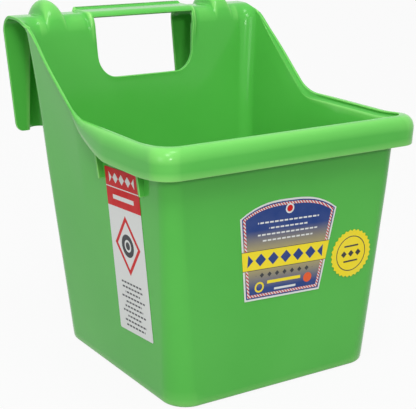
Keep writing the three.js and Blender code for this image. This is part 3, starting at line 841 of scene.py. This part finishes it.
# Scales of noise, in cells per metre, and of the scratches along the height
CLOUDS, WAVES, SHEEN, GRAIN, SCRATCHES, SCRATCH_STRETCH = 7, 11, 38, 420, 900, .09
SHEEN_RANGE = .13, .21


def green_plastic():
    """Moulded polyethylene: semi-gloss, with cloudy colour, a painted highlight of pale green along thin
    convex edges, flow marks and scratches.
    """
    p = Paint("green_polyethylene", roughness=.17, specular=.24)
    cloud = p.noise(CLOUDS, 3)
    colour = p.mix(p.span(cloud, *MIDDLE_OF_NOISE, 0, 1), linear(*GREEN_DEEP), linear(*GREEN_PALE))
    # Painted highlight: convex edges turn pale green, standing in for lamps glinting on the rims
    edge = p.tree.nodes.new("ShaderNodeNewGeometry").outputs["Pointiness"]
    colour = p.mix(p.span(edge, *PAINTED_HIGHLIGHT_POINTINESS, 0, 1), colour, linear(*GREEN_PAINTED_HIGHLIGHT))
    grain = p.noise(GRAIN, 2)
    roughness = p.span(p.noise(SHEEN, 4), *MIDDLE_OF_NOISE, *SHEEN_RANGE)
    stretch = p.tree.nodes.new("ShaderNodeMapping")
    stretch.inputs["Scale"].default_value = (1, 1, SCRATCH_STRETCH)
    p.tree.links.new(p.coordinates, stretch.inputs["Vector"])
    scratch = p.math("POWER", p.noise(SCRATCHES, 1, stretch.outputs["Vector"]), 6)
    wavy = p.bump(p.noise(WAVES, 1), strength=.2, distance=.0016)
    grainy = p.bump(grain, strength=.10, distance=.0002, before=wavy)
    return p.finish(colour, roughness, p.bump(scratch, strength=.12, distance=.0001, before=grainy))


WHITE, RED, GREY = linear(219, 221, 219), linear(200, 22, 26), linear(58, 60, 64)
BLUE, GOLD = linear(42, 66, 128), linear(172, 160, 108)
YELLOW, ORANGE = linear(240, 218, 46), linear(226, 92, 44)
LABEL_ROUGHNESS = .33, .46
# Lines of print: the share of a line that varies, and the waves that set each line's length and gaps
UNEVEN_SHARE, LENGTH_WAVE, GAP_WAVE, GAP_SHIFT, GAP_LEVEL = .2, 2.4, 1.1, 1.7, -.72


class Label(Paint):
    """A printed vinyl label. across and up are measured from its middle, in millimetres."""

    def __init__(self, name, centre, turn, across_axis, across_sign):
        super().__init__(name, roughness=.5, specular=.1)
        place = self.tree.nodes.new("ShaderNodeMapping")
        place.vector_type = "TEXTURE"
        place.inputs["Location"].default_value = [v * MILLIMETRE for v in centre]
        place.inputs["Rotation"].default_value = [math.radians(v) for v in turn]
        place.inputs["Scale"].default_value = (MILLIMETRE,) * 3
        self.tree.links.new(self.coordinates, place.inputs["Vector"])
        parts = self.tree.nodes.new("ShaderNodeSeparateXYZ")
        self.tree.links.new(place.outputs["Vector"], parts.inputs["Vector"])
        self.across = self.math("MULTIPLY", parts.outputs[across_axis], across_sign)
        self.up = parts.outputs["Z"]

    def near(self, value, middle, half):
        """1 where value is within half of middle."""
        node = self.tree.nodes.new("ShaderNodeMath")
        node.operation = "COMPARE"
        self.link(value, node.inputs[0])
        self.link(middle, node.inputs[1])
        self.link(half, node.inputs[2])
        return node.outputs[0]

    def both(self, *values):
        product = values[0]
        for value in values[1:]:
            product = self.math("MULTIPLY", product, value)
        return product

    def box(self, across, up, half_width, half_height):
        return self.both(self.near(self.across, across, half_width), self.near(self.up, up, half_height))

    def diamonds(self, across, up, radius, pitch, half_width):
        """A row of diamonds, pitch apart. The shift by whole pitches keeps the modulo's input positive."""
        shifted = self.math("ADD", self.math("SUBTRACT", self.across, across), pitch * 50.5)
        offset = self.math("ABSOLUTE", self.math("SUBTRACT", self.math("MODULO", shifted, pitch), pitch / 2))
        rise = self.math("ABSOLUTE", self.math("SUBTRACT", self.up, up))
        inside = self.math("LESS_THAN", self.math("ADD", offset, rise), radius)
        return self.both(inside, self.near(self.across, across, half_width))

    def lines(self, low, high, pitch, thickness, half_width):
        """Rules of uneven length with gaps, pitch apart, which stand for lines of print."""
        shifted = self.math("SUBTRACT", self.up, low)
        row = self.math("FLOOR", self.math("DIVIDE", shifted, pitch))
        level = self.math("MODULO", shifted, pitch)
        uneven = self.math("MULTIPLY", self.math("SINE", self.math("MULTIPLY", row, LENGTH_WAVE)),
                           half_width * UNEVEN_SHARE)
        length = self.math("ADD", half_width * (1 - UNEVEN_SHARE), uneven)
        along = self.math("ADD", self.math("MULTIPLY", self.across, GAP_WAVE),
                          self.math("MULTIPLY", row, GAP_SHIFT))
        gap = self.math("GREATER_THAN", self.math("SINE", along), GAP_LEVEL)
        return self.both(self.near(self.up, (low + high) / 2, (high - low) / 2),
                         self.math("LESS_THAN", level, thickness), gap,
                         self.near(self.across, 0.0, length))

    def ring(self, across, up, inner, outer):
        a = self.math("SUBTRACT", self.across, across)
        b = self.math("SUBTRACT", self.up, up)
        far = self.math("SQRT", self.math("ADD", self.math("MULTIPLY", a, a), self.math("MULTIPLY", b, b)))
        return self.near(far, (inner + outer) / 2, (outer - inner) / 2)

    def print_on(self, colour, *layers):
        for mask, ink in layers:
            colour = self.mix(mask, colour, ink)
        fade = self.span(self.noise(55, 3), *MIDDLE_OF_NOISE, 0, .03)
        colour = self.mix(fade, colour, WHITE)
        return self.finish(colour, self.span(self.noise(90, 2), *MIDDLE_OF_NOISE, *LABEL_ROUGHNESS),
                           self.bump(self.noise(160, 2), strength=.08, distance=.0002))


SIDE_LABEL_Y, SIDE_LABEL_LEAN, LABEL_Z = -42, 4, 139.5
SEAL_X, SEAL_Z = 82, 126
# Side label: the header's foot and rule (middle, half-height), and the emblem's middle and frame
HEADER_FOOT, HEADER_RULE = 44.5, (63.5, .5)
EMBLEM, EMBLEM_SQUASH, EMBLEM_FRAME = 8, .8, (21.6, 2.4)
# Front label: its place, its half-width and how that grows, its foot and its arched top
FRONT_LABEL_DROP, FRONT_LABEL_TURN = .5, 2.3
FRONT_HALF_WIDTH, FRONT_GROWTH, FRONT_FOOT = 51.25, 12.5 / 84, 42
ARCH_TOP, ARCH_FALL, ARCH_HALF_WIDTH, ARCH_POWER = 57, 15, 57.5, 2.8
# Its warm middle fades out over a span, its borders lie inward of its edge, and its band has a dark edge
WARM_DROP, WARM_SPAN = 1, (8, 30)
WHITE_BORDER, STRIPED_BORDER, STRIPE_WAVE = 1.9, (4.6, 1.3), 1.9
BAND, BAND_HALF, BAND_EDGE_HALF = -1.2, 9.4, 10


def side_print():
    p = Label("side_label_print", (0, SIDE_LABEL_Y, LABEL_Z), (-SIDE_LABEL_LEAN, 0, 0), "Y", -1)
    header = p.math("GREATER_THAN", p.up, HEADER_FOOT)
    rise = p.math("ABSOLUTE", p.math("SUBTRACT", p.up, EMBLEM))
    diamond = p.math("ADD", p.math("ABSOLUTE", p.across), p.math("MULTIPLY", rise, EMBLEM_SQUASH))
    return p.print_on(
        WHITE,
        (header, RED),
        (p.near(p.up, *HEADER_RULE), WHITE),
        (p.diamonds(across=0, up=73, radius=5.2, pitch=12, half_width=24), WHITE),
        (p.box(across=0, up=54, half_width=20, half_height=2.2), WHITE),
        (p.near(diamond, *EMBLEM_FRAME), RED),
        (p.ring(across=0, up=EMBLEM, inner=0, outer=11.5), GREY),
        (p.ring(across=0, up=EMBLEM, inner=4, outer=6.2), WHITE),
        (p.lines(low=-77, high=-27, pitch=5, thickness=1.9, half_width=22.5), GREY))


def front_print():
    p = Label("front_label_print", (0, 0, LABEL_Z - FRONT_LABEL_DROP), (0, FRONT_LABEL_TURN, 0), "X", 1)
    off_middle = p.math("ABSOLUTE", p.across)
    wide = p.math("ADD", FRONT_HALF_WIDTH, p.math("MULTIPLY", p.up, FRONT_GROWTH))
    fall = p.math("POWER", p.math("DIVIDE", off_middle, ARCH_HALF_WIDTH), ARCH_POWER)
    arch = p.math("SUBTRACT", ARCH_TOP, p.math("MULTIPLY", ARCH_FALL, fall))
    from_side, from_foot = p.math("SUBTRACT", wide, off_middle), p.math("ADD", p.up, FRONT_FOOT)
    inward = p.math("MINIMUM", p.math("MINIMUM", from_side, from_foot), p.math("SUBTRACT", arch, p.up))
    warm = p.span(p.math("ABSOLUTE", p.math("ADD", p.up, WARM_DROP)), *WARM_SPAN, 1, 0)
    slanting = p.math("MULTIPLY", p.math("ADD", p.across, p.up), STRIPE_WAVE)
    stripe = p.math("GREATER_THAN", p.math("SINE", slanting), 0)
    band = p.near(p.up, BAND, BAND_HALF)
    return p.print_on(
        p.mix(warm, BLUE, GOLD),
        (p.near(inward, *STRIPED_BORDER), p.mix(stripe, WHITE, RED)),
        (p.lines(low=17, high=40, pitch=6, thickness=1.6, half_width=38), WHITE),
        (p.ring(across=0, up=47, inner=0, outer=5), WHITE),
        (p.ring(across=0, up=47, inner=0, outer=3.4), RED),
        (p.diamonds(across=0, up=-17, radius=2.6, pitch=9, half_width=34), GREY),
        (p.box(across=0, up=-25, half_width=20, half_height=1.6), YELLOW),
        (p.ring(across=29, up=-27, inner=0, outer=5), ORANGE),
        (p.ring(across=-29, up=-29, inner=3.6, outer=5.4), YELLOW),
        (p.box(across=2, up=-33, half_width=13, half_height=1.1), WHITE),
        (p.math("LESS_THAN", inward, WHITE_BORDER), WHITE),
        (p.near(p.up, BAND, BAND_EDGE_HALF), GREY),
        (band, YELLOW),
        (p.both(band, p.diamonds(across=0, up=BAND, radius=6.4, pitch=15, half_width=45)), BLUE))


def seal_print():
    p = Label("round_seal_print", (SEAL_X, 0, SEAL_Z), (0, 0, 0), "X", 1)
    return p.print_on(
        YELLOW,
        (p.ring(across=0, up=0, inner=17.6, outer=18.6), GREY),
        (p.diamonds(across=0, up=0, radius=3.6, pitch=9, half_width=14), GREY),
        (p.box(across=0, up=8, half_width=9, half_height=.9), GREY),
        (p.box(across=0, up=-8, half_width=9, half_height=.9), GREY))


plastic = green_plastic()
verts, faces = build_moulding()
shells = [ridge()] + [lip_web(side, y) for side in (-1, 1) for y in WEB_PLACES]
for more_verts, more_faces in shells:
    first = len(verts)
    verts += more_verts
    faces += [[first + i for i in face] for face in more_faces]
moulding = mesh_piece("feeder_moulding", verts, faces, plastic)
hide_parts("feeder_body")
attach(moulding, "root")

for node, print_material in (("side_label", side_print()), ("front_label", front_print()),
                             ("round_seal", seal_print())):
    for material_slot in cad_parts[node].material_slots:
        material_slot.material = print_material


# ---- floor, light and camera, in metres but for the floor's corners
FLOOR_REACH, FLOOR_DROP = 6000, .6
FLOOR_GREY, FLOOR_LIT_SHARE = .42, .07
SKY_AT_HORIZON, SKY_ABOVE = .05, 1.1


def seen_rays(tree):
    """A socket that is 1 for camera, glossy and transmission rays."""
    path = tree.nodes.new("ShaderNodeLightPath")
    seen = path.outputs["Is Camera Ray"]
    for other in ("Is Glossy Ray", "Is Transmission Ray"):
        most = tree.nodes.new("ShaderNodeMath")
        most.operation = "MAXIMUM"
        tree.links.new(seen, most.inputs[0])
        tree.links.new(path.outputs[other], most.inputs[1])
        seen = most.outputs[0]
    return seen


def pale(name, lit_share):
    """A white surface that the camera sees as nearly white, with its shadows kept faint."""
    material = bpy.data.materials.new(name)
    material.use_nodes = True
    nodes, links = material.node_tree.nodes, material.node_tree.links
    nodes.clear()
    out, blend = nodes.new("ShaderNodeOutputMaterial"), nodes.new("ShaderNodeMixShader")
    matte, glow = nodes.new("ShaderNodeBsdfDiffuse"), nodes.new("ShaderNodeEmission")
    matte.inputs["Color"].default_value = (FLOOR_GREY, FLOOR_GREY, FLOOR_GREY, 1)
    share = nodes.new("ShaderNodeMath")
    share.operation = "MULTIPLY"
    share.inputs[1].default_value = 1 - lit_share
    links.new(seen_rays(material.node_tree), share.inputs[0])
    links.new(share.outputs[0], blend.inputs[0])
    links.new(matte.outputs[0], blend.inputs[1])
    links.new(glow.outputs[0], blend.inputs[2])
    links.new(blend.outputs[0], out.inputs["Surface"])
    return material


floor_corners = [Vector((x * FLOOR_REACH, y * FLOOR_REACH, -FLOOR_DROP))
                 for x, y in ((-1, -1), (1, -1), (1, 1), (-1, 1))]
floor = mesh_piece("floor", floor_corners, [[0, 1, 2, 3]], pale("floor", FLOOR_LIT_SHARE))

# The world is plain white where it is seen. Its light grows from the horizon to straight above.
world = bpy.data.worlds.new("studio")
bpy.context.scene.world = world
world.use_nodes = True
wn, wl = world.node_tree.nodes, world.node_tree.links
room = wn["Background"]
room.inputs["Color"].default_value = (1, 1, 1, 1)
heading = wn.new("ShaderNodeSeparateXYZ")
wl.new(wn.new("ShaderNodeTexCoord").outputs["Generated"], heading.inputs["Vector"])
sky = wn.new("ShaderNodeMapRange")
sky.inputs["To Min"].default_value = SKY_AT_HORIZON
sky.inputs["To Max"].default_value = SKY_ABOVE
wl.new(heading.outputs["Z"], sky.inputs["Value"])
strength = wn.new("ShaderNodeMapRange")
wl.new(sky.outputs["Result"], strength.inputs["To Min"])
strength.inputs["To Max"].default_value = 1.0
wl.new(seen_rays(world.node_tree), strength.inputs["Value"])
wl.new(strength.outputs["Result"], room.inputs["Strength"])

LIT_POINT = (0, 0, .17)


def softbox(name, place, size, watts):
    data = bpy.data.lights.new(name, "AREA")
    data.shape = "RECTANGLE"
    data.size, data.size_y, data.energy = size, size, watts
    lamp = bpy.data.objects.new(name, data)
    bpy.context.scene.collection.objects.link(lamp)
    lamp.location = place
    lamp.rotation_euler = (Vector(LIT_POINT) - Vector(place)).to_track_quat("-Z", "Y").to_euler()


softbox("key_box", (-1.0, -1.1, 2.2), size=.8, watts=20)
softbox("top_box", (.1, -.6, 2.5), size=.7, watts=12)
softbox("left_box", (-2.0, -.6, .9), size=1.0, watts=8)
softbox("front_box", (-.9, -2.1, 1.15), size=.3, watts=14.5)

# The camera that was solved from the photo
PLACE = Vector((-.6619, -.9769, .5136))
FORWARD = Vector((.53084, .79536, -.29260)).normalized()
ROLL = math.radians(1.07)
SENSOR_WIDTH, PHOTO_WIDTH, FOCAL_PIXELS = 36, 416, 1188.238
SHIFT_X, SHIFT_Y = -.00448, .01297
across = FORWARD.cross(Vector((0, 0, 1))).normalized()
upward = across.cross(FORWARD)
right_axis = across * math.cos(ROLL) + upward * math.sin(ROLL)
up_axis = upward * math.cos(ROLL) - across * math.sin(ROLL)
turn = Matrix((right_axis, up_axis, -FORWARD)).transposed().to_4x4()
camera_data = bpy.data.cameras.new("camera")
camera_data.sensor_width = SENSOR_WIDTH
camera_data.lens = SENSOR_WIDTH * FOCAL_PIXELS / PHOTO_WIDTH
camera_data.shift_x, camera_data.shift_y = SHIFT_X, SHIFT_Y
camera = bpy.data.objects.new("camera", camera_data)
bpy.context.scene.collection.objects.link(camera)
camera.matrix_world = Matrix.Translation(PLACE) @ turn
bpy.context.scene.camera = camera
bpy.context.scene.view_settings.view_transform = "Standard"
